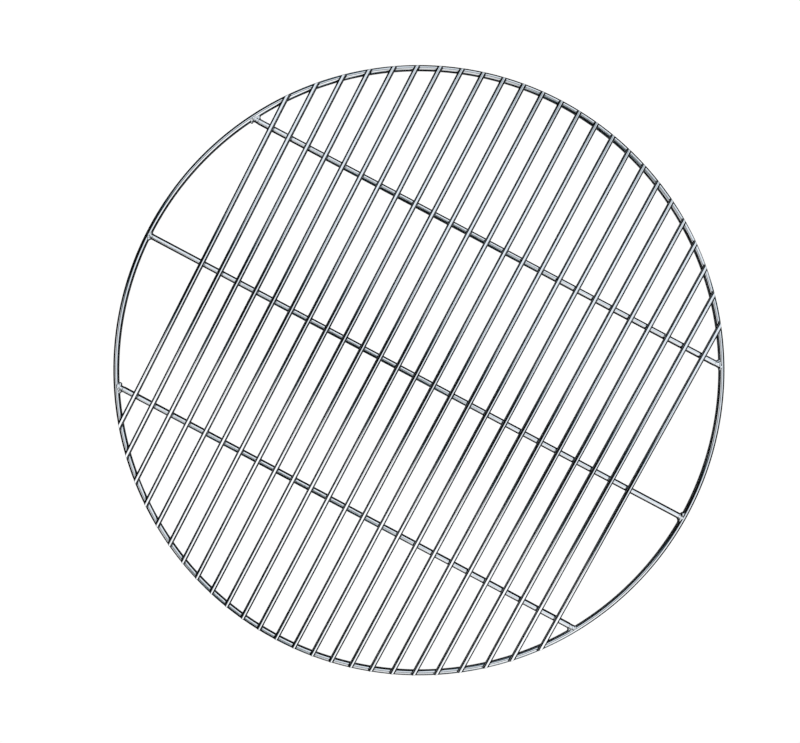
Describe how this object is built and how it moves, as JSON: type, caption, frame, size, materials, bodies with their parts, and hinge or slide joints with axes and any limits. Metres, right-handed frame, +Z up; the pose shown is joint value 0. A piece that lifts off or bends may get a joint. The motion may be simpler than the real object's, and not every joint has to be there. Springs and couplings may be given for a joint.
{
  "type": "fire ring grill grate",
  "caption": "Round welded wire cooking grate for a fire ring: a wire rim with cross bars inside it and closely spaced grill rods laid over both, all bright plated.",
  "frame": {"origin": "centre of the grate, on the plane of the rim's and the bars' underside", "axes": "+Z up out of the cooking side, +Y along the grill rods, +X along the cross bars"},
  "size_m": [0.61, 0.61, 0.0099],
  "materials": {
    "rim_plating": "bright plated wire, smooth, with faint drawing marks",
    "bar_plating": "bright plated wire, smooth, with faint drawing marks",
    "rod_plating": "bright plated wire, smooth",
    "weld_plating": "plated weld metal, lumpy and duller than the wire"
  },
  "bodies": {
    "root": {"rim_ring": "rim_plating", "cross_bar_1": "bar_plating", "cross_bar_2": "bar_plating", "cross_bar_3": "bar_plating", "grill_rod_01": "rod_plating", "grill_rod_02": "rod_plating", "grill_rod_03": "rod_plating", "grill_rod_04": "rod_plating", "grill_rod_05": "rod_plating", "grill_rod_06": "rod_plating", "grill_rod_07": "rod_plating", "grill_rod_08": "rod_plating", "grill_rod_09": "rod_plating", "grill_rod_10": "rod_plating", "grill_rod_11": "rod_plating", "grill_rod_12": "rod_plating", "grill_rod_13": "rod_plating", "grill_rod_14": "rod_plating", "grill_rod_15": "rod_plating", "grill_rod_16": "rod_plating", "grill_rod_17": "rod_plating", "grill_rod_18": "rod_plating", "grill_rod_19": "rod_plating", "grill_rod_20": "rod_plating", "grill_rod_21": "rod_plating", "grill_rod_22": "rod_plating", "grill_rod_23": "rod_plating", "grill_rod_24": "rod_plating", "grill_rod_25": "rod_plating", "bar_1_weld_left": "weld_plating", "bar_1_weld_right": "weld_plating", "bar_2_weld_left": "weld_plating", "bar_2_weld_right": "weld_plating", "bar_3_weld_left": "weld_plating", "bar_3_weld_right": "weld_plating"}
  },
  "joints": []
}
